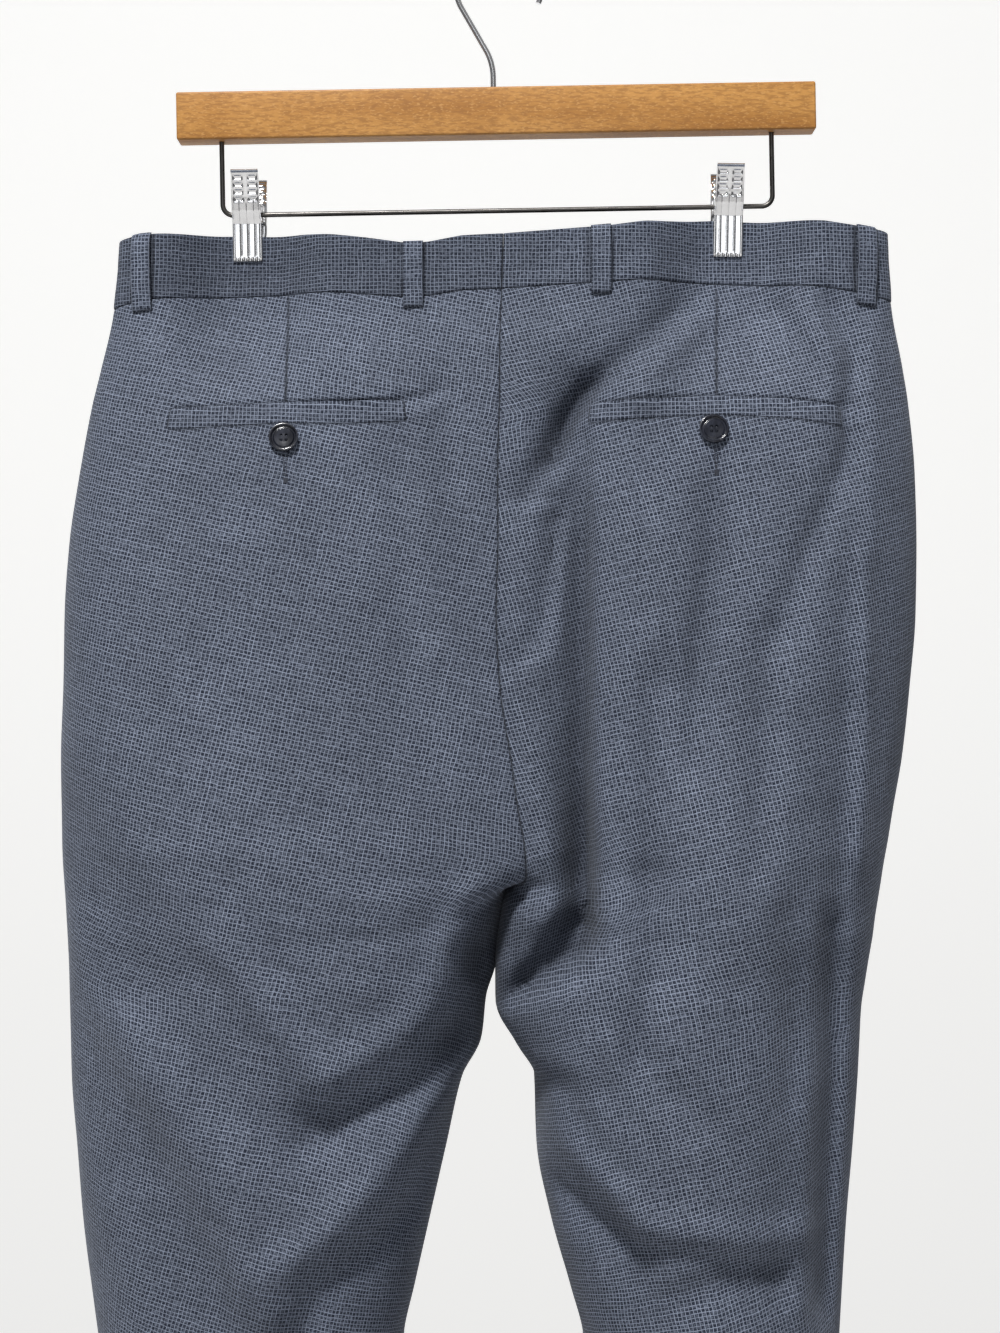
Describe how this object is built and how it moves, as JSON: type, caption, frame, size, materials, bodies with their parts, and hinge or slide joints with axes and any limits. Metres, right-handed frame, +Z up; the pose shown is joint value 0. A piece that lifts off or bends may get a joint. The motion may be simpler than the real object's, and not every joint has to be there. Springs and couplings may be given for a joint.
{
  "type": "flat-front dress trousers on a wooden clip hanger",
  "caption": "Dress trousers with a flat front, belt loops and buttoned welt back pockets, hung by the waistband from a wooden bar hanger with spring clips.",
  "frame": {"origin": "top of the inside of the hanger's hook, where it rests on a rail", "axes": "+Z up, the wearer's back faces -Y, the wearer's left is at -X"},
  "size_m": [0.4758, 0.1823, 1.2185],
  "materials": {
    "charcoal_check": "fine check suiting, matt",
    "zip_teeth": "dark tape and teeth",
    "horn": "dark polished",
    "chrome": "bright plated",
    "dark_steel": "dark drawn wire",
    "timber": "varnished beech"
  },
  "bodies": {
    "root": {"back_left": "charcoal_check", "back_right": "charcoal_check", "front_left": "charcoal_check", "front_right": "charcoal_check", "waistband_left": "charcoal_check", "waistband_right": "charcoal_check", "waistband_tab": "charcoal_check", "belt_loop_back_left": "charcoal_check", "belt_loop_back_right": "charcoal_check", "belt_loop_side_left": "charcoal_check", "belt_loop_side_right": "charcoal_check", "belt_loop_front_left": "charcoal_check", "belt_loop_front_right": "charcoal_check", "pocket_welt_left": "charcoal_check", "pocket_welt_right": "charcoal_check", "pocket_button_left": "horn", "pocket_button_right": "horn", "front_pocket_left": "charcoal_check", "front_pocket_right": "charcoal_check", "fly_flap": "charcoal_check", "fly_zip": "zip_teeth", "hanger_bar": "timber", "hanger_hook": "chrome", "hanger_rail": "dark_steel", "clip_left_back": "chrome", "clip_left_front": "chrome", "clip_left_spring": "dark_steel", "clip_right_back": "chrome", "clip_right_front": "chrome", "clip_right_spring": "dark_steel"}
  },
  "joints": []
}
